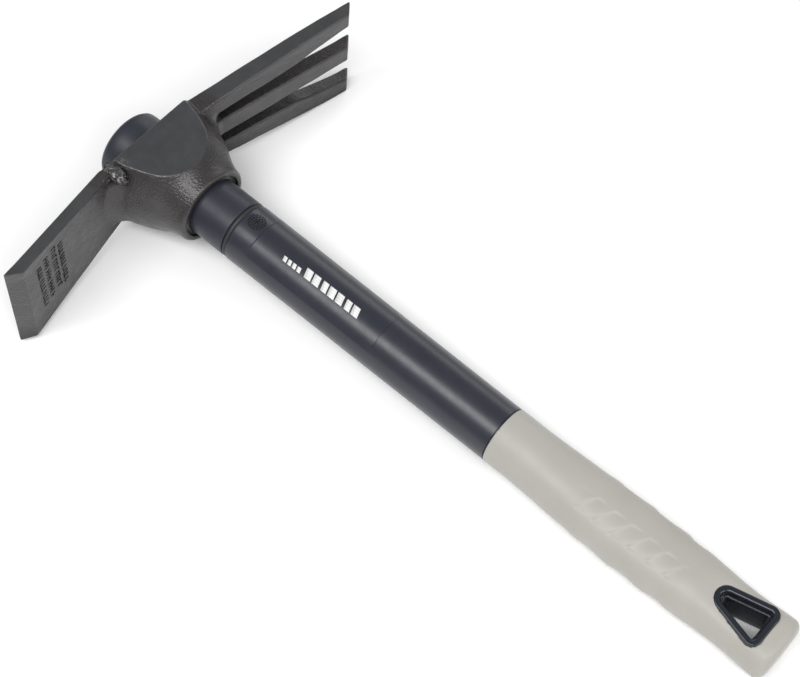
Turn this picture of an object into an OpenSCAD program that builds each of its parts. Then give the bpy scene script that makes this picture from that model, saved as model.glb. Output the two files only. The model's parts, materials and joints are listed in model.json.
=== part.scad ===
/* [Handle] */
// Length of the tool along the handle, from the butt to the flared end
tool_l = 400; // [390:1:415]
// Length of the soft grip
grip_l = 158; // [148:1:165]
// Diameter of the shaft next to the head
shaft_d = 30.6; // [29.6:0.2:31.4]
// Diameter of the shaft next to the grip
waist_d = 29.6; // [28.8:0.2:30.4]
// Greatest width of the grip
grip_w = 34; // [33:0.5:37]
// Thickness of the grip at the butt
butt_t = 24; // [23.5:0.5:26]

/* [Eye] */
// Length of the eye along the handle
eye_l = 42; // [40:1:46]
// Width of the head over its two flat cheeks
cheek_w = 48; // [47:0.5:50]
// Diameter of the eye's barrel at its top
barrel_d = 65.2; // [63:0.2:67]
// Diameter of the socket that the handle enters
socket_d = 41.6; // [40:0.2:43]
// How far the handle's flared end stands out of the eye
flare_out = 16.5; // [12:0.5:20]
// Length of bare collar between the socket and the parting ring
collar_l = 19.5; // [12:0.5:24]

/* [Blade] */
// Distance from the handle's axis to the cutting edge
blade_reach = 105; // [90:0.5:120]
// Width of the cutting edge
blade_edge_w = 60.4; // [50:0.2:64]
// Width of the blade at its root
blade_root_w = 45.4; // [40:0.2:46]
// Thickness of the blade
blade_t = 6.3; // [4.8:0.1:7]
// Angle by which the blade leans towards the grip
blade_droop = 10.3; // [5:0.1:14]

/* [Tines] */
// Distance from the handle's axis to the tips
tine_reach = 120; // [105:0.5:130]
// Width over the three tips
tine_spread = 63; // [58:1:68]
// Thickness of a tine where its tip begins to spread
tine_t = 7.9; // [7:0.1:8.4]
// Thickness of the tines at their root
tine_root_t = 11; // [10.4:0.1:12.4]
// Angle by which the tines' front faces lean towards the grip
tine_droop = 11.2; // [6:0.1:14]
// Width of the slots at their root
slot_w = 6.4; // [6:0.2:7.4]

/* [Hidden] */

// The tool's own frame has the handle's axis along Y with the butt at y = 0, the
// blade towards -X, the tines towards +X and the cheeks facing +Z and -Z.
round_fn = 96;

// How much longer the barrel's round is towards the cheeks than across them
cheek_stretch = 1.01;

// Stations along the handle
eye_top = tool_l - flare_out;
mouth_y = eye_top - eye_l;
ring_y = mouth_y - collar_l;
ring_l = 2.4;
jacket_top = ring_y - ring_l;

// Eye
barrel_r = barrel_d / 2;
socket_r = socket_d / 2;
bore_mouth_r = 17.6;
bore_top_r = 19;
lip_r = 1.5;
flare_l = 12.5;
side_shift = 5;

// Blade: side profile and plan
blade_rise = tan(blade_droop);
bevel_run = 7.2;
edge_land = 0.5;
blade_fillet = 7;
blade_fillet_inset = 3.4;
edge_corner = 0.6;

// Tines: side profile and plan
tine_slope = tan(tine_droop);
tine_front_y = eye_top - 13.8;
tine_front_x = 38;
taper_x = 92;
tip_bevel = 6.5;
tine_fillet = 5;
tine_fillet_inset = 4.4;
fillet_depth = 6;
tip_t = 6.9;
root_run = 5;
root_step = 0.6;
slot_end_x = 32.4;
mid_tine_w = 12.4;
mid_tip_w = 11;
outer_tip_w = 9.2;
outer_spread = 5.2;
mid_spread_x = 65;
mid_spread = 1.7;
spread_x = 90;

// Handle
core_r = 8.5;
under_grip_r = 12;
tail_y = 46;
core_butt_y = 52;
core_top_gap = 8;
panel_top_y = jacket_top - 13;
panel_l = 78;
panel_half_w = 12.5;
panel_floor = 5;
panel_reach = 20;
panel_depth = 0.35;
grip_end_gap = 0.4;

// Hang hole, a rounded triangle with its apex towards the head
apex_y = 32.2;
apex_r = 6.2;
base_y = 14.2;
base_x = 6.5;
base_r = 4.4;
liner_wall = 3.1;
flange_w = 1.2;
butt_flat_z = butt_t / 2 - 1;
flat_start = 5;
flat_end = 36;
flange_t = 0.7;

// Grip sections: distance from the butt, half width and half thickness
butt_contact_y = 8;
grip_sections = [
  [0, grip_w / 2 - 4.2, butt_t / 2 - 3.2],
  [2.4, grip_w / 2 - 1.7, butt_t / 2 - 0.9],
  [butt_contact_y, grip_w / 2 - 0.8, butt_t / 2 + 0.2],
  [28, grip_w / 2 - 1.5, butt_t / 2 + 0.4],
  [52, grip_w / 2 - 0.5, butt_t / 2 + 1],
  [81, grip_w / 2, butt_t / 2 + 1.7],
  [118, grip_w / 2 - 1.2, butt_t / 2 + 2.2],
  [grip_l, waist_d / 2 + 0.1, waist_d / 2 + 0.1]
];

// The tool lies on a level floor, with its lowest tine tip on it and its butt within a millimetre of it
tip_front_x = tine_reach - tip_bevel;
tip_front_y = tine_front_y - (tip_front_x - tine_front_x) * tine_slope;
butt_half_t = grip_sections[2][2];
rest_pitch = atan((tine_spread / 2 - butt_half_t) / (tip_front_y - butt_contact_y));
rest_lift = butt_half_t * cos(rest_pitch) - butt_contact_y * sin(rest_pitch);
flare_flat_r = 14.5;
rest_back_y = tool_l * cos(rest_pitch) + flare_flat_r * sin(rest_pitch);
rest_front_y = -grip_sections[0][2] * sin(rest_pitch);

// Places a shape drawn in the tool's own frame as it lies on the floor
module laid() {
  translate([(blade_reach - tine_reach) / 2, -(rest_back_y + rest_front_y) / 2, rest_lift])
    rotate([rest_pitch, 0, 0])
      children();
}

// Turns an outline of [radius, y] points around the handle's axis
module turned() {
  rotate([-90, 0, 0])
    rotate_extrude($fn = round_fn)
      children();
}

// Extrudes an outline drawn in X and Z along the handle
module through_plan(y_low, y_high) {
  translate([0, y_high, 0])
    rotate([90, 0, 0])
      linear_extrude(y_high - y_low)
        children();
}

// Points on an arc around a centre
function arc(centre, r, from, to, steps) =
  [for (i = [0 : steps]) let (a = from + (to - from) * i / steps) centre + r * [cos(a), sin(a)]];

// Corner circles of the hang hole's rounded triangle, anticlockwise from the apex
triangle_centres = [[0, apex_y], [-base_x, base_y], [base_x, base_y]];
triangle_radii = [apex_r, base_r, base_r];

// Direction that the straight side after a corner faces
function side_facing(i) =
  let (j = (i + 1) % 3, d = triangle_centres[j] - triangle_centres[i])
  atan2(d.y, d.x) - acos((triangle_radii[i] - triangle_radii[j]) / norm(d));

// Rounded triangle of the hang hole, drawn smaller by an inset
module hang_triangle(inset = 0) {
  polygon([for (i = [0 : 2]) each
    let (from = side_facing((i + 2) % 3), to = side_facing(i))
    arc(triangle_centres[i], triangle_radii[i] - inset, from, to < from ? to + 360 : to, 8)]);
}

// Outline of the barrel as [radius, y] points: a lip at the socket's mouth, a short
// socket, then a flare up to the full radius at the eye's top
function barrel_outline(extra, flare, end_r, fullness) =
  let (mouth_r = socket_r + extra, start = [mouth_r + flare, mouth_y + flare_l], end = [end_r, eye_top - 1])
  concat(
    arc([mouth_r - lip_r, mouth_y + lip_r], lip_r, -90, 0, 4),
    [[mouth_r + flare / 5, mouth_y + flare_l * 0.36], [mouth_r + flare / 2, mouth_y + flare_l * 0.68]],
    [for (t = [0 : 0.1 : 1])
      [start.x + (end.x - start.x) * pow(sin(90 * t), fullness), start.y + (end.y - start.y) * t]]);

// Barrel that carries the eye, wider towards the cheeks than towards the blade and the tines:
// two round bodies, set to either side of the axis, keep its sides narrow
module barrel() {
  wide = concat([[0, mouth_y]], barrel_outline(0, 3, barrel_r + 1, 0.8),
                [[barrel_r + 1, eye_top], [0, eye_top]]);
  narrow = concat([[0, mouth_y]], barrel_outline(side_shift + 0.4, 1.6, barrel_r + side_shift, 1.3),
                  [[barrel_r + side_shift - 1, eye_top], [0, eye_top]]);
  scale([1, 1, cheek_stretch])
    intersection() {
      turned()
        polygon(wide);
      translate([side_shift, 0, 0])
        turned()
          polygon(narrow);
      translate([-side_shift, 0, 0])
        turned()
          polygon(narrow);
    }
}

// Rounded inside corner between the barrel and the front face of the blade or the tines,
// around a circle that leans as the face does
module root_fillet(r, wall_r, face_y, lean) {
  overlap = 0.8;
  below = r + 2;
  translate([0, face_y, 0])
    rotate([0, 0, lean])
      turned()
        polygon(concat(
          [[wall_r - fillet_depth, overlap], [wall_r - fillet_depth, -below], [wall_r, -below]],
          arc([wall_r + r, -r], r, 180, 90, 6),
          [[wall_r + r, overlap]]));
}

// Blade seen from its side, with its root buried in the barrel
module blade_profile() {
  root_x = -barrel_r;
  front_drop = blade_t / cos(blade_droop);
  edge_y = eye_top - (blade_reach - barrel_r) * blade_rise;
  bevel_y = edge_y + bevel_run * blade_rise - front_drop;
  polygon([[0, eye_top], [root_x, eye_top], [-blade_reach, edge_y], [-blade_reach, edge_y - edge_land],
           [-blade_reach + bevel_run, bevel_y], [root_x, eye_top - front_drop], [0, eye_top - front_drop]]);
}

// Blade seen along the handle
module blade_plan() {
  polygon([
    [0, blade_root_w / 2], [-barrel_r, blade_root_w / 2],
    [-blade_reach + edge_corner, blade_edge_w / 2], [-blade_reach, blade_edge_w / 2 - edge_corner],
    [-blade_reach, -blade_edge_w / 2 + edge_corner], [-blade_reach + edge_corner, -blade_edge_w / 2],
    [-barrel_r, -blade_root_w / 2], [0, -blade_root_w / 2]
  ]);
}

module blade() {
  intersection() {
    union() {
      linear_extrude(blade_edge_w + 2, center = true)
        blade_profile();
      root_fillet(blade_fillet, barrel_r - blade_fillet_inset,
                  eye_top + barrel_r * blade_rise - blade_t / cos(blade_droop), blade_droop);
    }
    through_plan(mouth_y, tool_l)
      blade_plan();
  }
}

// Tines seen from their side
module tine_profile() {
  taper_front_y = tine_front_y - (taper_x - tine_front_x) * tine_slope;
  tip_y = tip_front_y + tip_t / cos(tine_droop) - tip_bevel * tine_slope;
  polygon([[0, eye_top], [barrel_r - root_run, eye_top],
           [tine_front_x, tine_front_y + tine_root_t - root_step],
           [taper_x, taper_front_y + tine_t / cos(tine_droop)],
           [tine_reach, tip_y], [tine_reach, tip_y - edge_land], [tip_front_x, tip_front_y],
           [0, tine_front_y + tine_front_x * tine_slope]]);
}

// Gap between the middle tine and an outer one, seen along the handle
module slot_plan() {
  inner_z = mid_tine_w / 2;
  end_x = slot_end_x + slot_w / 2;
  translate([end_x, inner_z + slot_w / 2])
    circle(d = slot_w, $fn = 48);
  polygon([
    [end_x, inner_z], [spread_x, inner_z - 0.2], [tine_reach + 1, mid_tip_w / 2],
    [tine_reach + 1, tine_spread / 2 - outer_tip_w], [spread_x, tine_spread / 2 - outer_tip_w - outer_spread],
    [mid_spread_x, inner_z + slot_w + mid_spread], [end_x, inner_z + slot_w]
  ]);
}

// All three tines seen along the handle
module tine_plan() {
  root_z = cheek_w / 2 - 2.6;
  root_x = 22;
  spread_z = tine_spread / 2 - 1.6;
  difference() {
    polygon([
      [0, -root_z], [root_x, -root_z], [spread_x, -spread_z], [tip_front_x, -tine_spread / 2],
      [tine_reach, -tine_spread / 2], [tine_reach, tine_spread / 2], [tip_front_x, tine_spread / 2],
      [spread_x, spread_z], [root_x, root_z], [0, root_z]
    ]);
    slot_plan();
    mirror([0, 1])
      slot_plan();
  }
}

module tines() {
  intersection() {
    union() {
      linear_extrude(tine_spread + 2, center = true)
        tine_profile();
      root_fillet(tine_fillet, barrel_r - tine_fillet_inset, tine_front_y + tine_front_x * tine_slope,
                  -tine_droop);
    }
    through_plan(mouth_y, tool_l)
      tine_plan();
  }
}

// One steel forging: eye, blade and three tines
module head_forging() {
  color("dimgray")
    laid()
      difference() {
        union() {
          intersection() {
            barrel();
            translate([-barrel_r - 1, mouth_y - 1, -cheek_w / 2])
              cube([barrel_d + 2, eye_l + 2, cheek_w]);
          }
          blade();
          tines();
        }
        turned()
          polygon([[0, mouth_y - 1], [bore_mouth_r, mouth_y - 1], [bore_mouth_r, mouth_y],
                   [bore_top_r, eye_top], [bore_top_r, tool_l], [0, tool_l]]);
      }
}

// Radius of the plug's seat inside the tapered eye
function seat_r(y) =
  shaft_d / 2 + (bore_top_r - 0.4 - shaft_d / 2) * (y - mouth_y) / (eye_top - mouth_y);

// Resin that fills the eye around the plug, just short of the socket's mouth
module bonding_epoxy() {
  fill_y = mouth_y + 1.6;
  fill_top = eye_top - 0.4;
  bore_slope = (bore_top_r - bore_mouth_r) / eye_l;
  color("#17181a")
    laid()
      turned()
        polygon([[seat_r(fill_y), fill_y], [bore_mouth_r + bore_slope * (fill_y - mouth_y), fill_y],
                 [bore_mouth_r + bore_slope * (fill_top - mouth_y), fill_top],
                 [seat_r(fill_top), fill_top]]);
}

// Moulded plug on the end of the core, with the flared end that stops the head flying off
module eye_plug() {
  cap_r = 19.4;
  edge_r = cap_r - flare_flat_r;
  color("#3c4049")
    laid()
      turned()
        polygon(concat(
          [[core_r, ring_y], [shaft_d / 2 - 0.3, ring_y], [shaft_d / 2, ring_y + 0.3],
           [shaft_d / 2, mouth_y], [seat_r(eye_top), eye_top], [cap_r, tool_l - edge_r - 2]],
          arc([flare_flat_r, tool_l - edge_r], edge_r, 0, 90, 6),
          [[0, tool_l], [0, tool_l - core_top_gap], [core_r, tool_l - core_top_gap]]));
}

// Glass-fibre rod that carries the load from the grip to the eye
module core_rod() {
  color("khaki")
    laid()
      translate([0, core_butt_y, 0])
        rotate([-90, 0, 0])
          cylinder(h = tool_l - core_top_gap - core_butt_y, r = core_r, $fn = round_fn);
}

// Dark ring in the groove between the plug and the jacket
module parting_ring() {
  ring_r = shaft_d / 2 - 0.7;
  color("#1b1d20")
    laid()
      turned()
        polygon([[core_r, jacket_top], [ring_r, jacket_top], [ring_r + 0.4, jacket_top + ring_l / 2],
                 [ring_r, ring_y], [core_r, ring_y]]);
}

// Radius of the jacket between the grip and the parting ring
function surface_r(y) =
  waist_d / 2 + (shaft_d / 2 + 0.1 - waist_d / 2) * (y - grip_l) / (jacket_top - grip_l);

// Moulded jacket around the core, thinner where the grip covers it, with a shallow label panel
module handle_jacket() {
  shaft_r = surface_r(jacket_top);
  panel_low_y = panel_top_y - panel_l;
  color("#3a3e47")
    laid()
      difference() {
        turned()
          polygon([[0, tail_y], [under_grip_r - 1, tail_y], [under_grip_r, tail_y + 1],
                   [under_grip_r, grip_l - 3], [waist_d / 2, grip_l - 3 + grip_end_gap],
                   [waist_d / 2, grip_l], [shaft_r, jacket_top - 0.6],
                   [shaft_r - 0.6, jacket_top], [0, jacket_top]]);
        translate([0, core_butt_y, 0])
          rotate([-90, 0, 0])
            cylinder(h = tool_l, r = core_r, $fn = round_fn);
        intersection() {
          turned()
            polygon([[surface_r(panel_low_y) - panel_depth, panel_low_y], [panel_reach, panel_low_y],
                     [panel_reach, panel_top_y], [surface_r(panel_top_y) - panel_depth, panel_top_y]]);
          translate([-panel_half_w, panel_low_y - 1, panel_floor])
            cube([2 * panel_half_w, panel_l + 2, panel_reach]);
        }
      }
}

// One oval slice of the grip
module grip_slice(section) {
  translate([0, section[0], 0])
    rotate([90, 0, 0])
      linear_extrude(0.01, center = true)
        scale([section[1] / section[2], 1])
          circle(r = section[2], $fn = 40);
}

// Soft grip moulded over the jacket's tail, flattened around the hang hole
module grip_sleeve() {
  color("#b7b4aa")
    laid()
      difference() {
        for (i = [0 : len(grip_sections) - 2])
          hull() {
            grip_slice(grip_sections[i]);
            grip_slice(grip_sections[i + 1]);
          }
        translate([0, tail_y, 0])
          rotate([-90, 0, 0])
            cylinder(h = grip_l, r = under_grip_r, $fn = round_fn);
        linear_extrude(2 * butt_t, center = true)
          hang_triangle();
        for (side = [0, 1])
          mirror([0, 0, side])
            rotate([0, 90, 0])
              linear_extrude(2 * grip_w, center = true)
                polygon([[-butt_t, flat_start - 2], [-butt_flat_z, flat_start],
                         [-butt_flat_z, flat_end], [-butt_t, flat_end + 50]]);
      }
}

// Hard glossy eyelet that lines the hang hole, with a flange on each face
module hang_hole_liner() {
  color("#15181d")
    laid()
      difference() {
        union() {
          linear_extrude(2 * butt_flat_z, center = true)
            hang_triangle();
          for (side = [-1, 1])
            translate([0, 0, side > 0 ? butt_flat_z : -butt_flat_z - flange_t])
              linear_extrude(flange_t)
                hang_triangle(-flange_w / 4);
        }
        linear_extrude(2 * butt_t, center = true)
          hang_triangle(liner_wall);
      }
}

head_forging();
bonding_epoxy();
eye_plug();
core_rod();
parting_ring();
handle_jacket();
grip_sleeve();
hang_hole_liner();
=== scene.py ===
import json
import math

import bmesh
import bpy
import numpy as np
from mathutils import Matrix, Vector


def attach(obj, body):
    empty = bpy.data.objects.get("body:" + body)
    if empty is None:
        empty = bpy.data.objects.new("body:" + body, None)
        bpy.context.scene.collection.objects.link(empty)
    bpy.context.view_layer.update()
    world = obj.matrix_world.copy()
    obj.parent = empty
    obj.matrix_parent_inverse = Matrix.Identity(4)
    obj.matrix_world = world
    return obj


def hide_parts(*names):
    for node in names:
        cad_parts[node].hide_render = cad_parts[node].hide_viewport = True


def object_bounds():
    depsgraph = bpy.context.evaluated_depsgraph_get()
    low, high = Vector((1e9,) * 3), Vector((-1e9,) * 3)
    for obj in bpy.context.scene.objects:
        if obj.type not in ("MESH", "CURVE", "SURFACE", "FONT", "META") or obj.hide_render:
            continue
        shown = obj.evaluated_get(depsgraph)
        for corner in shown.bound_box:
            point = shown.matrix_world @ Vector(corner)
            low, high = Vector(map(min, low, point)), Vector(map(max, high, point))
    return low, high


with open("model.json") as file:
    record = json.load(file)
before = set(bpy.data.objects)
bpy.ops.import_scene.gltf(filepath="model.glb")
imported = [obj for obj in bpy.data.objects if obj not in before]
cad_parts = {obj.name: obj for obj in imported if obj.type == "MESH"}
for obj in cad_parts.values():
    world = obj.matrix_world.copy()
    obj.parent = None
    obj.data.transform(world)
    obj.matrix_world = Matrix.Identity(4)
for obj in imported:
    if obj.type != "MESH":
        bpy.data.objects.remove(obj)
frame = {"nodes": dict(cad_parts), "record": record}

CAD_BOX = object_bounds()
MM = 0.001

# The tool's own frame, in millimetres: the handle's axis along Y with the butt at y = 0,
# the blade towards -X, the tines towards +X, and the cheeks facing +Z and -Z.
MOUNTS = {mount["name"]: mount for mount in frame["record"]["mounts"]}
ALONG = -Vector(MOUNTS["butt_end"]["axis"])
UP = Vector(MOUNTS["upper_cheek"]["axis"])
BUTT = Vector(MOUNTS["butt_end"]["pos_m"])
TOOL = Matrix((ALONG.cross(UP), ALONG, UP)).transposed()


def to_row(points):
    """Turns an array of tool-frame points in millimetres into row-frame points in metres."""
    return points @ (np.array(TOOL).T * MM) + np.array(BUTT)


def tool_extent(node):
    """Lowest and highest corners of a CAD node in the tool's own frame, in millimetres."""
    mesh = frame["nodes"][node].data
    flat = np.empty(len(mesh.vertices) * 3, dtype=np.float32)
    mesh.vertices.foreach_get("co", flat)
    points = (flat.reshape(-1, 3) - np.array(BUTT)) @ np.array(TOOL) / MM
    return points.min(axis=0), points.max(axis=0)


HEAD_LOW, HEAD_HIGH = tool_extent("head_forging")
PLUG_LOW, PLUG_HIGH = tool_extent("eye_plug")
JACKET_LOW, JACKET_HIGH = tool_extent("handle_jacket")
GRIP_LOW, GRIP_HIGH = tool_extent("grip_sleeve")
LINER_LOW, LINER_HIGH = tool_extent("hang_hole_liner")

# Stations along the handle, and the head's driving sizes
MOUTH_Y = HEAD_LOW[1]
EYE_TOP = HEAD_HIGH[1]
BLADE_REACH = -HEAD_LOW[0]
TINE_REACH = HEAD_HIGH[0]
TINE_HALF = HEAD_HIGH[2]
CHEEK_Z = (Vector(MOUNTS["upper_cheek"]["pos_m"]) - BUTT).dot(UP) / MM
BARREL_R = 32.6
BORE_MOUTH_R = 17.4
BORE_TOP_R = 19.0
SHAFT_R = 15.3


# ---------------------------------------------------------------- curves and distances

def smooth_curve(points):
    """A smooth function through a few (position, value) points, level beyond its ends."""
    at, value = np.array(points, dtype=float).T
    slope = np.gradient(value, at)

    def evaluate(s):
        s = np.clip(s, at[0], at[-1])
        i = np.clip(np.searchsorted(at, s, side="right") - 1, 0, len(at) - 2)
        span = at[i + 1] - at[i]
        t = (s - at[i]) / span
        rise = value[i] * (1 + 2 * t) * (1 - t) ** 2 + value[i + 1] * t * t * (3 - 2 * t)
        return rise + span * (slope[i] * t * (1 - t) ** 2 - slope[i + 1] * t * t * (1 - t))

    return evaluate


def round_join(a, b, r):
    """Joins two solids' distances with a fillet of radius r."""
    return np.maximum(np.minimum(a, b), r) - np.hypot(np.maximum(r - a, 0), np.maximum(r - b, 0))


def round_cut(a, b, r):
    """Keeps what is inside both distances, with the edge between them rounded to radius r."""
    return np.minimum(np.maximum(a, b), -r) + np.hypot(np.maximum(r + a, 0), np.maximum(r + b, 0))


def fade(value, start, end):
    """Rises smoothly from 0 at start to 1 at end."""
    t = np.clip((value - start) / (end - start), 0, 1)
    return t * t * (3 - 2 * t)


def line_distance(u, v, start, end):
    """Distance from the line through two (u, v) points, positive on its right-hand side."""
    du, dv = end[0] - start[0], end[1] - start[1]
    return ((u - start[0]) * dv - (v - start[1]) * du) / math.hypot(du, dv)


def lumps(x, y, z, size, seed):
    """Slow, repeatable unevenness between about -1 and 1, with features of a given size."""
    a = np.sin((x + 0.7 * z) / size + seed + 1.3 * np.sin(y / size * 0.61 + seed))
    b = np.sin((z - 0.5 * y) / size * 1.13 + 2.1 * seed + 1.1 * np.sin(x / size * 0.53))
    c = np.sin((y + 0.4 * x) / size * 0.91 + 0.6 * seed + 1.2 * np.sin(z / size * 0.47))
    return (a * b + b * c + c * a) / 1.8


# ---------------------------------------------------------------- meshes

def new_piece(name, points, faces, material, node=None, normals=None):
    """Makes a piece from tool-frame points, which rides on the tool's one body."""
    mesh = bpy.data.meshes.new(name)
    mesh.from_pydata(to_row(points), [], faces)
    mesh.polygons.foreach_set("use_smooth", [True] * len(mesh.polygons))
    mesh.materials.append(material)
    mesh.update()
    if normals is not None:
        mesh.normals_split_custom_set_from_vertices(normals @ np.array(TOOL).T)
    piece = bpy.data.objects.new(name, mesh)
    bpy.context.scene.collection.objects.link(piece)
    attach(piece, "root")
    if node:
        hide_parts(node)
    return piece


def cell_net(field, low, step):
    """Vertices and quads of the surface where a sampled distance changes sign."""
    inside = field < 0
    corners = [(i, j, k) for i in (0, 1) for j in (0, 1) for k in (0, 1)]
    n = np.array(field.shape) - 1
    count = sum(inside[i:n[0] + i, j:n[1] + j, k:n[2] + k].astype(np.int8) for i, j, k in corners)
    cells = np.argwhere((count > 0) & (count < 8))
    values = {c: field[tuple((cells + c).T)] for c in corners}
    total = np.zeros((len(cells), 3))
    crossings = np.zeros(len(cells))
    for a in corners:
        for axis in range(3):
            if a[axis] == 0:
                b = tuple(1 if i == axis else a[i] for i in range(3))
                va, vb = values[a], values[b]
                crossed = (va < 0) != (vb < 0)
                t = np.where(crossed, va / np.where(crossed, va - vb, 1), 0)
                at = np.tile(np.array(a, dtype=float), (len(cells), 1))
                at[:, axis] = t
                total += at * crossed[:, None]
                crossings += crossed
    points = low + step * (cells + total / crossings[:, None])
    index = np.full(tuple(n), -1)
    index[tuple(cells.T)] = np.arange(len(cells))
    quads = []
    for axis in range(3):
        one, two = [(1, 2), (2, 0), (0, 1)][axis]
        a = np.take(inside, range(n[axis]), axis)
        b = np.take(inside, range(1, n[axis] + 1), axis)
        edges = np.argwhere(a != b)
        edges = edges[(edges[:, one] > 0) & (edges[:, two] > 0)
                      & (edges[:, one] < n[one]) & (edges[:, two] < n[two])]
        ring = []
        for d_one, d_two in ((1, 1), (0, 1), (0, 0), (1, 0)):
            cell = edges.copy()
            cell[:, one] -= d_one
            cell[:, two] -= d_two
            ring.append(index[tuple(cell.T)])
        quad = np.stack(ring, axis=1)
        leaving = a[tuple(edges.T)]
        quad[~leaving] = quad[~leaving][:, ::-1]
        quads.append(quad)
    return points, np.concatenate(quads)


def gradient(distance, points):
    """Direction in which a distance grows, and how fast, by central differences."""
    e = 0.04
    parts = []
    for axis in range(3):
        shift = np.zeros(3)
        shift[axis] = e
        parts.append(distance(*(points + shift).T) - distance(*(points - shift).T))
    return np.stack(parts, axis=1) / (2 * e)


def settle(distance, points, step):
    """Slides points onto a distance's surface, and gives the surface's normals there."""
    for _ in range(4):
        slope = gradient(distance, points)
        reach = distance(*points.T) / np.maximum((slope ** 2).sum(axis=1), 0.2)
        points = points - np.clip(reach, -step, step)[:, None] * slope
    slope = gradient(distance, points)
    return points, slope / np.maximum(np.linalg.norm(slope, axis=1), 1e-6)[:, None]


def refined(points, quads, normals, bend):
    """Splits each quad into four where its corners' normals differ, so that edges stay crisp."""
    corner = normals[quads]
    turn = (corner * np.roll(corner, 1, axis=1)).sum(axis=2).min(axis=1)
    turn = np.minimum(turn, (corner[:, 0] * corner[:, 2]).sum(axis=1))
    made = bmesh.new()
    for point in points:
        made.verts.new(point)
    made.verts.ensure_lookup_table()
    sharp = []
    for quad, split in zip(quads, turn < math.cos(math.radians(bend))):
        face = made.faces.new([made.verts[i] for i in quad])
        if split:
            sharp.append(face)
    edges = list({edge for face in sharp for edge in face.edges})
    bmesh.ops.subdivide_edges(made, edges=edges, cuts=1, use_grid_fill=True)
    bmesh.ops.triangulate(made, faces=[face for face in made.faces if len(face.verts) > 4])
    made.verts.index_update()
    points = np.array([vertex.co for vertex in made.verts])
    faces = [[vertex.index for vertex in face.verts] for face in made.faces]
    made.free()
    return points, faces


def carve(name, distance, low, high, step, material, node=None, bend=None):
    """Makes a piece whose surface is where a distance function of x, y and z is zero."""
    axes = [np.arange(low[i] - 2 * step, high[i] + 3 * step, step) for i in range(3)]
    field = distance(*np.meshgrid(*axes, indexing="ij", sparse=True))
    points, quads = cell_net(field, np.array([axis[0] for axis in axes]), step)
    points, normals = settle(distance, points, step)
    faces = quads.tolist()
    if bend:
        points, faces = refined(points, quads, normals, bend)
        points, normals = settle(distance, points, step / 2)
    return new_piece(name, points, faces, material, node, normals)


def lathe(name, profile, material, node=None, around=160, angles=None, swell=None, hollow=False):
    """Turns (y, radius) points about the handle's axis. A hollow outline closes on itself, and
    swell changes the radius by y and angle, except under the grip."""
    y, r = np.array(profile).T
    angle = np.linspace(-math.pi, math.pi, around, endpoint=False) if angles is None else np.array(angles)
    around = len(angle)
    yy, aa = np.meshgrid(y, angle, indexing="ij")
    rr = np.repeat(r[:, None], around, axis=1)
    if swell:
        rr = rr + swell(yy, aa) * (rr > UNDER_GRIP_R + 1)
    points = np.stack([rr * np.sin(aa), yy, rr * np.cos(aa)], axis=-1).reshape(-1, 3)
    count = len(y)
    faces = []
    for i in range(count if hollow else count - 1):
        a, b = i * around, (i + 1) % count * around
        faces += [(a + j, a + (j + 1) % around, b + (j + 1) % around, b + j) for j in range(around)]
    piece = new_piece(name, points, faces, material, node)
    made = bmesh.new()
    made.from_mesh(piece.data)
    bmesh.ops.remove_doubles(made, verts=made.verts, dist=1e-7)
    bmesh.ops.dissolve_degenerate(made, edges=made.edges, dist=1e-8)
    bmesh.ops.recalc_face_normals(made, faces=made.faces)
    made.to_mesh(piece.data)
    made.free()
    piece.data.set_sharp_from_angle(angle=math.radians(38))
    return piece


def rounded(outline, steps=6):
    """(y, radius) points of an outline given as (y, radius, rounding) corners."""
    points = []
    for i, (y, r, rounding) in enumerate(outline):
        here = np.array((y, r), dtype=float)
        if rounding == 0 or i in (0, len(outline) - 1):
            points.append(here)
            continue
        back = np.array(outline[i - 1][:2]) - here
        on = np.array(outline[i + 1][:2]) - here
        start = here + back / np.linalg.norm(back) * rounding
        end = here + on / np.linalg.norm(on) * rounding
        for t in np.linspace(0, 1, steps + 1):
            points.append(start * (1 - t) ** 2 + here * 2 * t * (1 - t) + end * t * t)
    return points


def spaced(points, gap):
    """Adds points to an outline so that none are further apart than a gap."""
    out = [points[0]]
    for a, b in zip(points[:-1], points[1:]):
        count = max(1, math.ceil(np.linalg.norm(np.array(b) - a) / gap))
        out += [a + (b - a) * i / count for i in range(1, count + 1)]
    return out


# ---------------------------------------------------------------- materials

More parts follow.
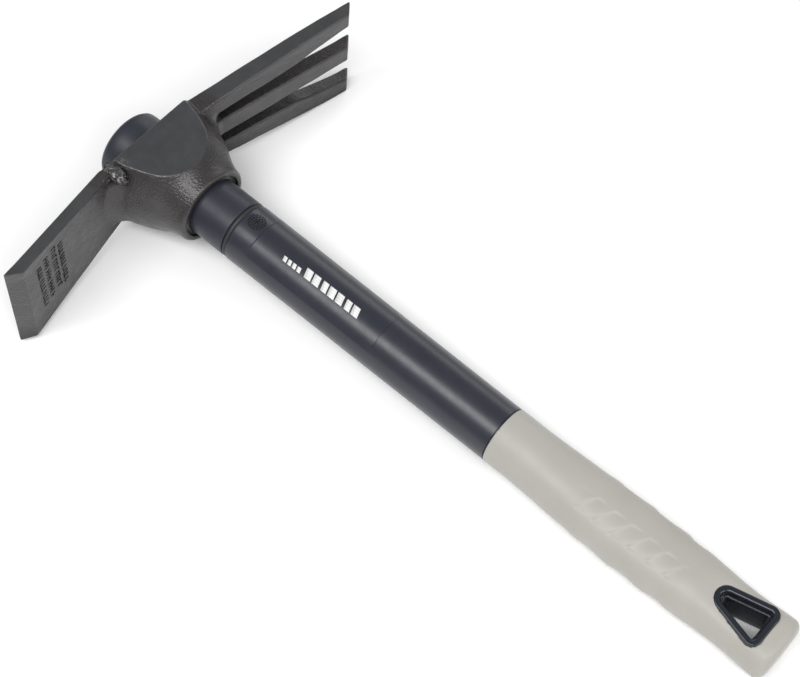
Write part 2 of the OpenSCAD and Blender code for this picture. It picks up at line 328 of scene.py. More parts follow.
class Look:
    """A node material: helper calls that keep each material's own function short."""

    def __init__(self, name, **settings):
        self.material = bpy.data.materials.new(name)
        self.material.use_nodes = True
        self.tree = self.material.node_tree
        self.shader = self.tree.nodes["Principled BSDF"]
        for key, value in settings.items():
            self.shader.inputs[key.replace("_", " ")].default_value = value
        self.place = self.tree.nodes.new("ShaderNodeTexCoord").outputs["Object"]

    def node(self, kind, **inputs):
        made = self.tree.nodes.new(kind)
        for key, value in inputs.items():
            socket = made.inputs[key.replace("_", " ")]
            if isinstance(value, bpy.types.NodeSocket):
                self.tree.links.new(value, socket)
            else:
                socket.default_value = value
        return made

    def noise(self, size, detail=2.0, roughness=0.5, stretch=None):
        """Noise with features of about a given size in metres."""
        place = self.place
        if stretch:
            place = self.node("ShaderNodeMapping", Vector=place, Scale=stretch).outputs[0]
        made = self.node("ShaderNodeTexNoise", Vector=place, Scale=1 / size, Detail=detail,
                         Roughness=roughness)
        return made.outputs["Fac"]

    def ramp(self, value, stops):
        """Maps a value through (position, colour) stops, where a colour may be one grey number."""
        made = self.node("ShaderNodeValToRGB", Fac=value)
        elements = made.color_ramp.elements
        while len(elements) < len(stops):
            elements.new(0.5)
        for element, (position, colour) in zip(elements, stops):
            element.position = position
            element.color = (*colour, 1) if isinstance(colour, tuple) else (colour,) * 3 + (1,)
        return made.outputs["Color"]

    def mix(self, factor, a, b):
        made = self.tree.nodes.new("ShaderNodeMix")
        made.data_type = "RGBA"
        for socket, value in ((made.inputs[0], factor), (made.inputs[6], a), (made.inputs[7], b)):
            if isinstance(value, bpy.types.NodeSocket):
                self.tree.links.new(value, socket)
            elif isinstance(value, tuple):
                socket.default_value = (*value, 1)
            else:
                socket.default_value = value
        return made.outputs[2]

    def band(self, axis, low, high):
        """Rises from 0 to 1 between two distances in millimetres from the tool's mid-plane, on both sides."""
        off = self.node("ShaderNodeVectorMath")
        off.operation = "SUBTRACT"
        off.inputs[1].default_value = BUTT
        self.tree.links.new(self.place, off.inputs[0])
        height = self.node("ShaderNodeVectorMath")
        height.operation = "DOT_PRODUCT"
        height.inputs[1].default_value = axis
        self.tree.links.new(off.outputs[0], height.inputs[0])
        depth = self.tree.nodes.new("ShaderNodeMath")
        depth.operation = "ABSOLUTE"
        self.tree.links.new(height.outputs["Value"], depth.inputs[0])
        return self.node("ShaderNodeMapRange", Value=depth.outputs[0], From_Min=low * MM,
                         From_Max=high * MM).outputs["Result"]

    def nearby(self, spot, inner, outer):
        """Falls from 1 to 0 between two distances in metres from a tool-frame point in millimetres."""
        apart = self.node("ShaderNodeVectorMath")
        apart.operation = "DISTANCE"
        apart.inputs[1].default_value = to_row(np.array(spot))
        self.tree.links.new(self.place, apart.inputs[0])
        return self.node("ShaderNodeMapRange", Value=apart.outputs["Value"], From_Min=outer,
                         From_Max=inner).outputs[0]

    def bump(self, height, strength, depth, under=None):
        """Bumps of a given depth in metres, over an earlier bump's normal if there is one."""
        inputs = {"Height": height, "Strength": strength, "Distance": depth}
        if under:
            inputs["Normal"] = under
        return self.node("ShaderNodeBump", **inputs).outputs["Normal"]

    def wire(self, **inputs):
        for key, value in inputs.items():
            self.tree.links.new(value, self.shader.inputs[key.replace("_", " ")])
        return self.material


def steel_look():
    """Dark lacquered steel: a hammered grain, smoother on the ground cheeks, worn bare at the burr, with
    painted shade that darkens its crevices and dims their reflections.
    """
    look = Look("lacquered_steel")
    cheek = look.band(UP, CHEEK_Z - 0.45, CHEEK_Z - 0.15)
    mottle = look.ramp(look.noise(0.016, 4, 0.6),
                       [(0.3, (0.017, 0.015, 0.015)), (0.7, (0.030, 0.026, 0.026))])
    ground = look.ramp(look.noise(0.010, 4, 0.6),
                       [(0.3, (0.031, 0.032, 0.034)), (0.7, (0.040, 0.041, 0.043))])
    colour = look.mix(cheek, mottle, ground)
    # Painted shade: where ambient occlusion finds crevices, such as the tine slots and the blade's root, the
    # colour darkens to near black and the specular level drops.
    occlusion_shade = look.node("ShaderNodeAmbientOcclusion", Distance=0.03).outputs["AO"]
    colour = look.mix(look.ramp(occlusion_shade, [(0.40, 1.0), (0.80, 0.0)]), colour, (0.006, 0.006, 0.007))
    shade_dimmed_specular = look.ramp(occlusion_shade, [(0.40, 0.10), (0.80, 0.60)])
    scrape = look.ramp(look.noise(0.0026, 5, 0.7), [(0.56, 0.0), (0.60, 1.0)])
    bare = look.tree.nodes.new("ShaderNodeMath")
    bare.operation = "MULTIPLY"
    look.tree.links.new(scrape, bare.inputs[0])
    look.tree.links.new(look.nearby(BURR, 0.0035, 0.0085), bare.inputs[1])
    colour = look.mix(bare.outputs[0], colour, (0.30, 0.29, 0.29))
    gloss = look.ramp(look.noise(0.005, 3), [(0.3, 0.30), (0.7, 0.40)])
    grain = look.mix(cheek, look.noise(0.0010, 1.5), look.noise(0.0030, 2.0))
    peel = look.bump(grain, 0.75, 0.0004)
    peel = look.bump(look.noise(0.0040, 1.0), 0.35, 0.0004, peel)
    return look.wire(Base_Color=colour, Roughness=gloss, Normal=peel, Specular_IOR_Level=shade_dimmed_specular)


def plastic_look(name, dark, light, low, high):
    look = Look(name, Specular_IOR_Level=0.5)
    colour = look.ramp(look.noise(0.02, 3), [(0.3, dark), (0.7, light)])
    gloss = look.ramp(look.noise(0.004, 3), [(0.3, low), (0.7, high)])
    grain = look.bump(look.noise(0.0006, 2), 0.12, 0.00006)
    return look.wire(Base_Color=colour, Roughness=gloss, Normal=grain)


def grip_look():
    look = Look("soft_rubber", Specular_IOR_Level=0.45, Sheen_Weight=0.12, Sheen_Roughness=0.5)
    colour = look.ramp(look.noise(0.025, 3), [(0.3, (0.335, 0.326, 0.292)), (0.7, (0.36, 0.348, 0.315))])
    gloss = look.ramp(look.noise(0.005, 3), [(0.3, 0.44), (0.7, 0.54)])
    grain = look.bump(look.noise(0.0008, 2), 0.1, 0.00008)
    return look.wire(Base_Color=colour, Roughness=gloss, Normal=grain)


def plain_look(name, colour, roughness, grain):
    look = Look(name)
    tone = look.ramp(look.noise(grain, 3), [(0.3, tuple(0.85 * c for c in colour)), (0.7, colour)])
    gloss = look.ramp(look.noise(grain * 2, 2), [(0.3, roughness), (0.7, roughness + 0.1)])
    fine = look.bump(look.noise(grain / 4, 2), 0.15, 0.0001)
    return look.wire(Base_Color=tone, Roughness=gloss, Normal=fine)


# Middle of the burr beside the blade's root
BURR = (-27.5, 378.0, 22.5)
STEEL = steel_look()
PLUG_PLASTIC = plastic_look("plug_moulding", (0.017, 0.019, 0.029), (0.021, 0.023, 0.034), 0.40, 0.47)
JACKET_PLASTIC = plastic_look("jacket_moulding", (0.017, 0.019, 0.028), (0.021, 0.023, 0.033), 0.30, 0.36)
GRIP_RUBBER = grip_look()
LINER_PLASTIC = plastic_look("eyelet_gloss", (0.010, 0.012, 0.018), (0.014, 0.017, 0.024), 0.10, 0.18)
RING_RUBBER = plain_look("ring_rubber", (0.020, 0.021, 0.024), 0.5, 0.003)
EPOXY = plain_look("dark_resin", (0.010, 0.010, 0.011), 0.35, 0.002)
GLASS_FIBRE = plain_look("glass_fibre", (0.55, 0.50, 0.30), 0.5, 0.001)
DARK_MARK = plain_look("dark_mark", (0.008, 0.008, 0.009), 0.6, 0.002)
DARK_MARK.node_tree.nodes["Principled BSDF"].inputs["Specular IOR Level"].default_value = 0.2
PRINT_WHITE = plain_look("print_ink", (0.80, 0.80, 0.79), 0.5, 0.004)


# ---------------------------------------------------------------- head

BLADE_DROOP = math.radians(10.3)
BLADE_T = 6.3
BLADE_ROOT_HALF = 22.7
BLADE_EDGE_HALF = 30.2
BEVEL_RUN = 7.3
EDGE_LAND = 0.7
# How far the blade's back stands above the eye's top
BLADE_CROWN = 1.0
# Keeps the casting just inside its CAD node
MARGIN = 0.01
BLADE_FILLET = 7.5
TINE_FILLET = 5.5
TINE_DROOP = math.radians(11.2)
TINE_FRONT_X = 38.0
TINE_FRONT_Y = EYE_TOP - 13.4
TIP_BEVEL = 6.5
SLOT_R = 3.2
SLOT_X = 35.6

SOCKET_R = 20.7
NARROW = smooth_curve([(MOUTH_Y - 6, SOCKET_R - 0.4), (MOUTH_Y, SOCKET_R), (MOUTH_Y + 4.5, SOCKET_R + 0.4),
                       (MOUTH_Y + 8.5, SOCKET_R + 1.1), (MOUTH_Y + 12.5, 22.9), (MOUTH_Y + 17.5, 25),
                       (MOUTH_Y + 24.5, 27.8), (MOUTH_Y + 30.5, 30.3), (MOUTH_Y + 36.5, 32.1),
                       (EYE_TOP, BARREL_R), (EYE_TOP + 6, BARREL_R)])
FULL = smooth_curve([(MOUTH_Y - 6, SOCKET_R - 0.4), (MOUTH_Y, SOCKET_R), (MOUTH_Y + 4.5, SOCKET_R + 0.9),
                     (MOUTH_Y + 8.5, SOCKET_R + 2.6), (MOUTH_Y + 12.5, 25.6), (MOUTH_Y + 17.5, 28.2),
                     (MOUTH_Y + 24.5, 31), (MOUTH_Y + 30.5, 33), (MOUTH_Y + 36.5, 34.2), (EYE_TOP, 34.6),
                     (EYE_TOP + 6, 34.6)])
WIDE = smooth_curve([(MOUTH_Y - 6, SOCKET_R - 0.4), (MOUTH_Y, SOCKET_R), (MOUTH_Y + 4.5, SOCKET_R + 0.6),
                     (MOUTH_Y + 8.5, SOCKET_R + 2), (MOUTH_Y + 12.4, 24.9), (MOUTH_Y + 17, 28.5),
                     (MOUTH_Y + 23.5, 31.4), (MOUTH_Y + 31, 32.8), (EYE_TOP, 34), (EYE_TOP + 6, 34)])
TINE_BACK = smooth_curve([(-8, 391), (18, 385), (28, 382.4), (40, 379.3), (50, 377), (60, 374.7), (70, 372.5),
                          (80, 370.3), (92, 367.3), (105, 364.3), (TINE_REACH + 3, 360.4)])
TINE_OUTER = smooth_curve([(0, 19.5), (22, 21.4), (38, 24), (55, 26.3), (70, 27.7), (80, 28.8), (90, 30.1),
                           (100, 31), (112, 31.5), (TINE_REACH + 3, TINE_HALF)])
MIDDLE_HALF = smooth_curve([(30, 6.0), (38, 6.1), (55, 6.3), (77, 6.1), (92, 6.0), (105, 5.7),
                            (TINE_REACH + 3, 5.5)])
OUTER_INNER = smooth_curve([(30, 12.6), (38, 13.1), (45, 13.6), (55, 14), (69, 14.7), (77, 15.5), (83, 16.1),
                            (92, 18.4), (100, 19.8), (112, 21.7), (TINE_REACH + 3, 22.8)])


def blade_distance(x, y, az):
    lean = (y - EYE_TOP - BLADE_CROWN - (x + BARREL_R) * math.tan(BLADE_DROOP)) * math.cos(BLADE_DROOP)
    run = (x + BLADE_REACH - MARGIN) / math.cos(BLADE_DROOP)
    spread = (BLADE_EDGE_HALF - BLADE_ROOT_HALF) / (BLADE_REACH - BARREL_R)
    side = (az - BLADE_ROOT_HALF + (x + BARREL_R) * spread) / math.hypot(1, spread)
    bevel = line_distance(run, lean, (0, -EDGE_LAND), (BEVEL_RUN, -BLADE_T))
    shape = round_cut(-lean - BLADE_T, side, 0.9)
    shape = round_cut(shape, bevel, 0.3)
    shape = np.maximum(shape, -run)
    crown = y - EYE_TOP - BLADE_CROWN * fade(-x, 22, 34)
    return np.maximum(shape, x + 6), np.where(x < -BARREL_R, np.maximum(lean, crown), crown)


def tine_distance(x, y, az):
    slope = math.tan(TINE_DROOP)
    front = (TINE_FRONT_Y - (x - TINE_FRONT_X) * slope - y) * math.cos(TINE_DROOP)
    back = (y - TINE_BACK(x)) * 0.97
    side = (az - TINE_OUTER(x)) * 0.99
    between = np.maximum(MIDDLE_HALF(x) - az, az - OUTER_INNER(x))
    slot_end = np.hypot(x - SLOT_X, az - MIDDLE_HALF(x) - SLOT_R) - SLOT_R
    slot = np.where(x < SLOT_X, slot_end, between)
    tip_x = TINE_REACH - TIP_BEVEL
    tip_y = TINE_FRONT_Y - (tip_x - TINE_FRONT_X) * slope
    end_y = TINE_BACK(np.array(TINE_REACH)) - EDGE_LAND
    bevel = line_distance(x, y, (tip_x, tip_y), (TINE_REACH, end_y))
    shape = round_cut(front, side, 1.0)
    shape = round_cut(shape, bevel, 0.4)
    shape = round_cut(shape, -slot, 1.2)
    shape = np.maximum(shape, x - TINE_REACH)
    return np.maximum(shape, 8 - x), back


def head_distance(x, y, z):
    az = np.abs(z)
    narrow, wide = np.where(x > 0, FULL(y), NARROW(y)), WIDE(y)
    barrel = (np.sqrt((x / narrow) ** 2 + (z / wide) ** 2) - 1) * narrow
    barrel = round_cut(barrel, MOUTH_Y - y, 1.4)
    blade, blade_back = blade_distance(x, y, az)
    tines, tine_back = tine_distance(x, y, az)
    near_side = fade(az, 15.5, 21)
    body = round_join(barrel, blade, BLADE_FILLET - 6.6 * near_side)
    body = round_join(body, tines, TINE_FILLET - 4.7 * near_side)
    body = body + 0.09 * lumps(x, y, z, 5.5, 1.0) + 0.03 * lumps(x, y, z, 1.9, 2.3)
    cheek = az - CHEEK_Z - 0.6 * np.maximum(np.abs(x) - 27, 0)
    body = round_cut(body, cheek, 0.35)
    body = np.maximum(body, np.maximum(-x - BLADE_REACH, x - TINE_REACH) + MARGIN)
    body = np.maximum(body, az - TINE_HALF + 2 * MARGIN)
    back = np.where(x < 0, blade_back, np.maximum(y - EYE_TOP, tine_back))
    from_edge = np.minimum(x + BLADE_REACH, TINE_REACH - x)
    body = round_cut(body, back, np.clip(from_edge / 9, 0.12, 0.9))
    # a small burr of forging flash beside the blade's root
    burr = np.sqrt(((x - BURR[0] - 0.12 * (y - BURR[1])) / 3.6) ** 2 + ((y - BURR[1]) / 7.2) ** 2
                   + ((z - BURR[2] + 0.6) / 2.4) ** 2)
    burr = (burr - 1) * 2.4 + 0.45 * lumps(x, y, z, 0.9, 0.4) + 0.2 * lumps(x, y, z, 0.4, 1.9)
    body = np.minimum(body, np.maximum(burr, z - CHEEK_Z - 0.2))
    bore = np.hypot(x, z) - BORE_MOUTH_R - (BORE_TOP_R - BORE_MOUTH_R) * (y - MOUTH_Y) / (EYE_TOP - MOUTH_Y)
    return round_cut(body, -bore, 0.5)


def build_head():
    low = (HEAD_LOW[0], MOUTH_Y, HEAD_LOW[2])
    carve("head_casting", head_distance, low, HEAD_HIGH, 0.7, STEEL, "head_forging", 22)


# ---------------------------------------------------------------- plug, resin, ring and jacket

RING_Y = PLUG_LOW[1]
JACKET_TOP = JACKET_HIGH[1]
GRIP_TOP = GRIP_HIGH[1]
TAIL_Y = JACKET_LOW[1]
CORE_R = 8.5
WAIST_R = 14.6
UNDER_GRIP_R = 12.0
CAP_R = PLUG_HIGH[0] - 0.1
CAP_LEAN = (1.6, 0, 0.7)
PANEL_TOP = JACKET_TOP - 12.4
PANEL_LOW = JACKET_TOP - 90.4
PANEL_ANGLE = math.radians(58.5)


def build_plug():
    end = PLUG_HIGH[1]
    core_end = end - 8
    seat_top = BORE_TOP_R - 0.4
    outline = [(core_end, 0, 0), (core_end, CORE_R, 0), (RING_Y, CORE_R, 0), (RING_Y, SHAFT_R - 0.5, 0),
               (RING_Y + 0.35, SHAFT_R, 0.3), (MOUTH_Y, SHAFT_R, 2), (EYE_TOP - 3, seat_top, 2),
               (EYE_TOP + 3.6, seat_top + 0.15, 3), (end - 5.4, CAP_R, 2.6), (end - 0.8, CAP_R - 0.9, 3.4),
               (end, CAP_R - 8, 3), (end, 0, 0)]
    points = spaced(rounded(outline, 8), 4)
    piece = lathe("eye_plug_moulding", points, PLUG_PLASTIC, "eye_plug")
    across = TOOL @ Vector(CAP_LEAN) * MM
    for vertex in piece.data.vertices:
        y = (vertex.co - BUTT).dot(ALONG) / MM
        vertex.co -= across * float(fade(y, MOUTH_Y + 8, end - 6))


def build_resin():
    fill = MOUTH_Y + 1.3
    top = EYE_TOP - 0.3
    outline = [(fill, SHAFT_R, 0), (fill + 0.55, (SHAFT_R + BORE_MOUTH_R) / 2, 0.4),
               (fill, BORE_MOUTH_R + 0.1, 0), (top, BORE_TOP_R - 0.05, 0), (top - 0.15, BORE_TOP_R - 0.45, 0)]
    points = spaced(rounded(outline), 3)
    lathe("resin_fill", points, EPOXY, "bonding_epoxy", hollow=True)


def build_ring():
    low, high = JACKET_TOP, RING_Y
    middle = (low + high) / 2
    outline = [(low, CORE_R, 0), (low, SHAFT_R - 0.75, 0), (low + 0.35, SHAFT_R - 0.45, 0.25),
               (middle, SHAFT_R - 0.12, 0.5), (high - 0.55, SHAFT_R - 0.35, 0.3),
               (high - 0.3, SHAFT_R - 0.95, 0.15), (high, SHAFT_R - 1, 0), (high, CORE_R, 0)]
    lathe("parting_ring_moulding", rounded(outline), RING_RUBBER, "parting_ring",
          hollow=True)


def panel_depth(y, angle):
    """How deep the label panel is sunk at a place on the jacket."""
    ends = np.clip((y - PANEL_LOW) / 0.35, 0, 1) * np.clip((PANEL_TOP - y) / 0.35, 0, 1)
    sides = np.clip((PANEL_ANGLE - np.abs(angle)) / 0.03, 0, 1)
    crown = 0.06 + 0.6 * np.cos(np.clip(angle / PANEL_ANGLE, -1, 1) * math.pi / 2)
    return -crown * ends * sides


def build_jacket():
    outline = [(TAIL_Y, CORE_R, 0), (TAIL_Y, UNDER_GRIP_R - 1, 0), (TAIL_Y + 1, UNDER_GRIP_R, 0.4),
               (GRIP_TOP - 3, UNDER_GRIP_R, 0), (GRIP_TOP - 2.7, WAIST_R - 0.6, 0),
               (GRIP_TOP + 0.35, WAIST_R - 0.6, 0), (GRIP_TOP + 0.6, WAIST_R, 0),
               (PANEL_LOW, shaft_radius(PANEL_LOW), 0), (PANEL_LOW + 0.35, shaft_radius(PANEL_LOW + 0.35), 0),
               (PANEL_TOP - 0.35, shaft_radius(PANEL_TOP - 0.35), 0), (PANEL_TOP, shaft_radius(PANEL_TOP), 0),
               (JACKET_TOP - 0.6, shaft_radius(JACKET_TOP), 0.3), (JACKET_TOP, SHAFT_R - 0.5, 0),
               (JACKET_TOP, CORE_R, 0)]
    angles = list(np.linspace(-math.pi, math.pi, 180, endpoint=False))
    angles += [side * (PANEL_ANGLE - cut) for side in (-1, 1) for cut in (0, 0.03)]
    lathe("jacket_moulding", spaced(rounded(outline), 4), JACKET_PLASTIC, "handle_jacket",
          angles=sorted(angles), swell=panel_depth, hollow=True)


def shaft_radius(y):
    return WAIST_R + (SHAFT_R + 0.1 - WAIST_R) * (y - GRIP_TOP) / (JACKET_TOP - GRIP_TOP)


def build_core():
    outline = [(TAIL_Y + 6, 0, 0), (TAIL_Y + 6, CORE_R - 0.6, 0), (TAIL_Y + 6.6, CORE_R - 0.05, 0.3),
               (PLUG_HIGH[1] - 8.6, CORE_R - 0.05, 0.3), (PLUG_HIGH[1] - 8, CORE_R - 0.6, 0),
               (PLUG_HIGH[1] - 8, 0, 0)]
    lathe("core_pultrusion", spaced(rounded(outline), 8), GLASS_FIBRE, "core_rod", around=72)


# ---------------------------------------------------------------- marks

# How far the blade's strokes stand above its cast unevenness
STROKE_RISE = 0.13


def slab(points, faces, outline, place, high, low):
    """Adds one thin closed slab: an outline in (x, y), laid on a surface by place(x, y, rise)."""
    base = len(points)
    count = len(outline)
    for rise in (high, low):
        points += [place(u, v, rise) for u, v in outline]
    faces.append(tuple(base + i for i in range(count)))
    faces.append(tuple(base + count + i for i in reversed(range(count))))
    for i in range(count):
        j = (i + 1) % count
        faces.append((base + i, base + count + i, base + count + j, base + j))


def on_jacket(u, y, rise):
    """A point on the jacket, u millimetres around from its top line."""
    r = shaft_radius(y)
    angle = u / r
    r += float(panel_depth(np.array(y), np.array(angle))) + rise
    return (r * math.sin(angle), y, r * math.cos(angle))


def build_print():
    """A plain stripe of slanted white blocks, in place of the printed name."""
    points, faces = [], []
    blocks = [(start, 4.0 - 0.7 * (k % 3 == 1), -6.0, -0.9)
              for k, start in enumerate(np.arange(243.5, 276, 4.9))]
    blocks += [(start, 2.1, -6.0, -3.4) for start in np.arange(279.5, 291, 2.9)]
    for start, length, low, high in blocks:
        lean = 0.3 * (high - low)
        for piece in range(4):
            a = low + (high - low) * piece / 4
            b = low + (high - low) * (piece + 1) / 4
            at_a, at_b = lean * piece / 4, lean * (piece + 1) / 4
            slab(points, faces, [(a, start + at_a), (b, start + at_b), (b, start + at_b + length),
                                 (a, start + at_a + length)], on_jacket, 0.05, -0.2)
    new_piece("print_stripe", np.array(points), faces, PRINT_WHITE)


def build_dots():
    """A plain rosette of small domes, in place of the moulded mark."""
    points, faces = [], []
    middle_y = JACKET_TOP - 6.6
    for ring, count in ((0, 1), (1.45, 6), (2.8, 12), (4.1, 18)):
        for k in range(count):
            turn = 2 * math.pi * (k + 0.5 * (count == 12)) / count
            u, y = 1.2 + ring * math.cos(turn), middle_y + ring * math.sin(turn)
            size = 0.5 if ring else 0.7
            base = len(points)
            sides = 10
            for lift, grow in ((-0.15, 1.0), (0.05, 1.0), (0.17, 0.75), (0.23, 0.4)):
                for s in range(sides):
                    a = 2 * math.pi * s / sides
                    reach = size * grow
                    points.append(on_jacket(u + reach * math.cos(a), y + reach * math.sin(a), lift))
            for level in range(3):
                for s in range(sides):
                    a, b = base + level * sides + s, base + level * sides + (s + 1) % sides
                    faces.append((a, b, b + sides, a + sides))
            faces.append(tuple(base + 3 * sides + s for s in range(sides)))
            faces.append(tuple(base + s for s in reversed(range(sides))))
    new_piece("moulded_dots", np.array(points), faces, DARK_MARK)


def build_stamp():
    """Rows of short strokes that spell nothing, in place of the stamped wording."""
    points, faces = [], []
    slope = math.tan(BLADE_DROOP)

    def on_blade(z, x, rise):
        front = EYE_TOP + BLADE_CROWN + (x + BARREL_R) * slope - (BLADE_T + rise) / math.cos(BLADE_DROOP)
        return (x, front, z)

    # each row's x, and the z of its first stroke
    rows = ((-89.2, 18.5), (-84.0, 20.5), (-78.4, 21.5), (-73.2, 19.5))
    for row, (x, high) in enumerate(rows):
        z = high
        for count in range(13):
            width = 1.5 + 0.5 * ((count * 7 + row * 3) % 4) / 3
            tall = 3.1 + 0.4 * ((count * 5 + row) % 3) / 2
            slab(points, faces, [(z - 0.7, x), (z, x), (z, x + tall), (z - 0.7, x + tall)][::-1],
                 on_blade, STROKE_RISE, -0.2)
            if (count + row) % 4:
                cross = x + (tall - 0.8) * ((count * 3 + row) % 3) / 2
                slab(points, faces, [(z - width, cross), (z - 0.6, cross), (z - 0.6, cross + 0.8),
                                     (z - width, cross + 0.8)][::-1], on_blade, STROKE_RISE, -0.2)
            z -= width + (1.6 if count % 4 == 3 else 0.7)
    new_piece("blade_dashes", np.array(points), faces, DARK_MARK)


# ---------------------------------------------------------------- grip and eyelet

HOLE = ((0.0, 32.2, 6.2), (-6.5, 14.2, 4.4), (6.5, 14.2, 4.4))
LINER_WALL = 3.1
FLAT_Z = LINER_HIGH[2] - 0.7
HALF_WIDTH = smooth_curve([(-4, 16.2), (5, 16.1), (11, 15.7), (21, 15.0), (31, 15.0), (41, 15.6), (51, 16.2),
                           (66, 16.5), (81, 16.6), (96, 16.4), (111, 15.7), (126, 15.0), (141, 14.6),
                           (GRIP_TOP, WAIST_R + 0.1), (GRIP_TOP + 6, WAIST_R)])
HALF_DEPTH = smooth_curve([(-4, 11.4), (8, 12.2), (28, 12.4), (52, 13.0), (81, 13.8), (118, 14.3),
                           (GRIP_TOP, WAIST_R + 0.1), (GRIP_TOP + 6, WAIST_R)])


def hole_distance(x, y):
    """Distance from the hang hole's rounded triangle, negative inside it."""
    sides = []
    for (ax, ay, ar), (bx, by, br) in zip(HOLE, HOLE[1:] + HOLE[:1]):
        length = math.hypot(bx - ax, by - ay)
        facing = math.atan2(by - ay, bx - ax) - math.acos((ar - br) / length)
        nx, ny = math.cos(facing), math.sin(facing)
        run = math.sqrt(length ** 2 - (ar - br) ** 2)
        off = (x - ax) * nx + (y - ay) * ny - ar
        along = ((x - ax) * -ny + (y - ay) * nx) / run
        sides.append((off, along))
    distance = np.maximum(np.maximum(sides[0][0], sides[1][0]), sides[2][0])
    for i, (cx, cy, cr) in enumerate(HOLE):
        at_corner = (sides[i - 1][1] > 1) & (sides[i][1] < 0)
        distance = np.where(at_corner, np.hypot(x - cx, y - cy) - cr, distance)
    return distance


def tooth(phase, ramp=0.82):
    """A saw tooth from 0 to 1: a long rise and then a short fall."""
    phase = phase - np.floor(phase)
    rise = phase / ramp
    fall = (1 - phase) / (1 - ramp)
    low = np.minimum(rise, fall)
    return low * low * (3 - 2 * low)


def grip_distance(x, y, z):
    shifted = x + 0.25 * fade(y, 60, 90) * (1 - fade(y, 110, 150))
    w, t = HALF_WIDTH(y), HALF_DEPTH(y)
    n = 2 + 0.25 * (1 - fade(y, 110, GRIP_TOP))
    body = ((np.abs(shifted) / w) ** n + (np.abs(z) / t) ** n) ** (1 / n)
    body = (body - 1) * np.minimum(w, t)
    around = np.arctan2(shifted, np.abs(z))
    zone = fade(y, 50, 58) * (1 - fade(y, 104, 116))
    band = fade(np.abs(around + 0.42), 0.40, 0.28)
    flank = fade(np.abs(around), 0.95, 1.2)
    cut = tooth((y + 0.66 * shifted - 55) / 9.7) * band * 0.42
    cut = cut + tooth((y + 0.66 * shifted - 55) / 19.0, 0.7) * flank * 0.8
    body = body + (cut - 0.1) * zone
    scoop = np.abs(z) - FLAT_Z - 0.0045 * (y - 20) ** 2
    body = round_cut(body, scoop, 2.2)
    body = round_cut(body, 0.5 - y, 4.2)
    body = round_cut(body, y - GRIP_TOP, 0.35)
    inner = np.minimum(UNDER_GRIP_R - np.hypot(x, z), y - TAIL_Y)
    body = round_cut(body, inner, 0.05)
    return round_cut(body, -hole_distance(x, y) + 0.02, 0.45)


def liner_distance(x, y, z):
    az = np.abs(z)
    hole = hole_distance(x, y)
    face = az - FLAT_Z - 0.7
    ring = round_cut(hole - 0.25, face, 0.7)
    ring = round_cut(ring, -hole - LINER_WALL, 1.4)
    sleeve = round_cut(np.maximum(hole, face + 4.2), -hole - LINER_WALL - 0.8, 0.3)
    return round_join(ring, sleeve, 0.3)


def build_grip():
    low = (GRIP_LOW[0], 0, -GRIP_HIGH[2])
    high = (GRIP_HIGH[0], GRIP_TOP, GRIP_HIGH[2])
    carve("grip_overmould", grip_distance, low, high, 0.7, GRIP_RUBBER, "grip_sleeve")
    carve("hang_hole_eyelet", liner_distance, LINER_LOW, LINER_HIGH, 0.35, LINER_PLASTIC, "hang_hole_liner")


# ---------------------------------------------------------------- floor, light and camera

def build_stage():
    size = 3.0
    grid = 24
    steps = np.linspace(-size, size, grid + 1)
    xs, ys = np.meshgrid(steps, steps, indexing="ij")
    points = np.stack([xs.ravel(), ys.ravel(), np.full(xs.size, CAD_BOX[0][2])], axis=1)
    row = grid + 1
    faces = [(i * row + j, (i + 1) * row + j, (i + 1) * row + j + 1, i * row + j + 1)
             for i in range(grid) for j in range(grid)]
    mesh = bpy.data.meshes.new("floor")
    mesh.from_pydata(points.tolist(), [], faces)
    floor = bpy.data.objects.new("floor", mesh)
    bpy.context.scene.collection.objects.link(floor)
    look = Look("pale_floor", Roughness=0.7)
    tone = look.ramp(look.noise(0.3, 2), [(0.3, 0.94), (0.7, 0.96)])
    mesh.materials.append(look.wire(Base_Color=tone))


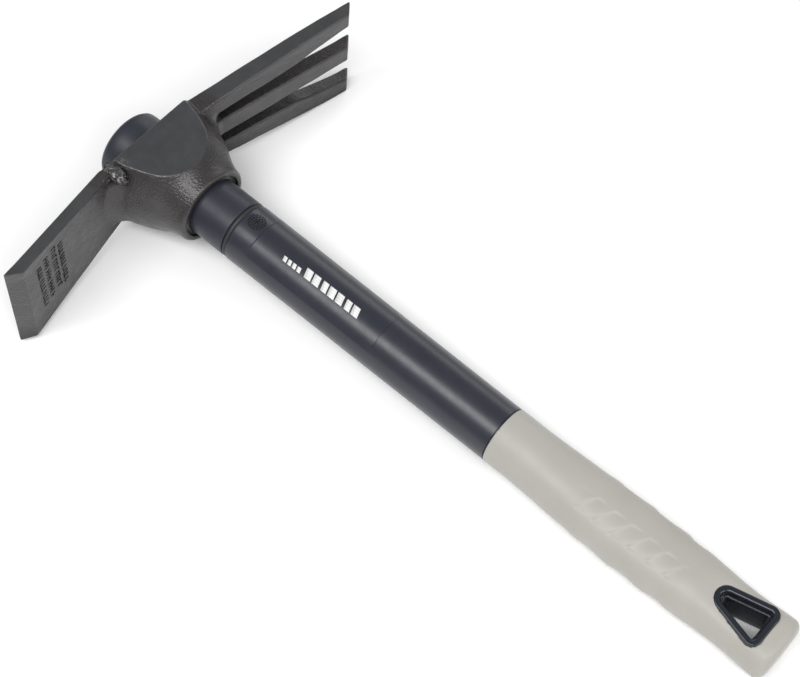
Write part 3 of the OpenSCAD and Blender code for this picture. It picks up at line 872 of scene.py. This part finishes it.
def soft_light(name, place, aim, size, power, turn=0.0):
    """A soft box: a rectangular light, turned about the line to the point it aims at."""
    data = bpy.data.lights.new(name, "AREA")
    data.shape = "RECTANGLE"
    data.size, data.size_y = size
    data.energy = power
    lamp = bpy.data.objects.new(name, data)
    facing = (Vector(aim) - Vector(place)).to_track_quat("-Z", "Y").to_matrix()
    lamp.matrix_world = Matrix.Translation(place) @ (facing @ Matrix.Rotation(turn, 3, "Z")).to_4x4()
    lamp.visible_camera = False
    bpy.context.scene.collection.objects.link(lamp)


def build_lights():
    world = bpy.data.worlds.new("studio")
    world.use_nodes = True
    world.node_tree.nodes["Background"].inputs["Color"].default_value = (1, 1, 1, 1)
    world.node_tree.nodes["Background"].inputs["Strength"].default_value = 0.37
    bpy.context.scene.world = world
    bpy.context.scene.view_settings.view_transform = "Standard"
    soft_light("long_box", (-0.50, -0.12, 1.02), (0, 0, 0), (1.4, 0.45), 14.0)
    soft_light("front_box", (0.25, -1.25, 0.95), (0, 0, 0), (0.9, 0.6), 6.0)
    soft_light("side_box", (1.15, 0.45, 0.55), (0, 0, 0), (0.9, 0.5), 2.6)


def place_camera():
    azimuth, elevation, roll = math.radians(-49.4), math.radians(59.0), math.radians(0.44)
    target = Vector((-0.00129, 0.02598, 0.02417))
    distance = 0.8943
    back = Vector((math.sin(azimuth) * math.cos(elevation),
                   -math.cos(azimuth) * math.cos(elevation), math.sin(elevation)))
    data = bpy.data.cameras.new("camera")
    data.lens = 85.5
    data.sensor_width = 36.0
    camera = bpy.data.objects.new("camera", data)
    bpy.context.scene.collection.objects.link(camera)
    turn = back.to_track_quat("Z", "Y").to_matrix() @ Matrix.Rotation(roll, 3, "Z")
    camera.matrix_world = Matrix.Translation(target + back * distance) @ turn.to_4x4()
    bpy.context.scene.camera = camera


place_camera()
for node, look in (("head_forging", STEEL), ("eye_plug", PLUG_PLASTIC), ("handle_jacket", JACKET_PLASTIC),
                   ("grip_sleeve", GRIP_RUBBER), ("hang_hole_liner", LINER_PLASTIC),
                   ("parting_ring", RING_RUBBER), ("bonding_epoxy", EPOXY), ("core_rod", GLASS_FIBRE)):
    for slot in frame["nodes"][node].material_slots:
        slot.material = look
build_head()
build_plug()
build_resin()
build_ring()
build_jacket()
build_core()
build_print()
build_dots()
build_stamp()
build_grip()
build_stage()
build_lights()
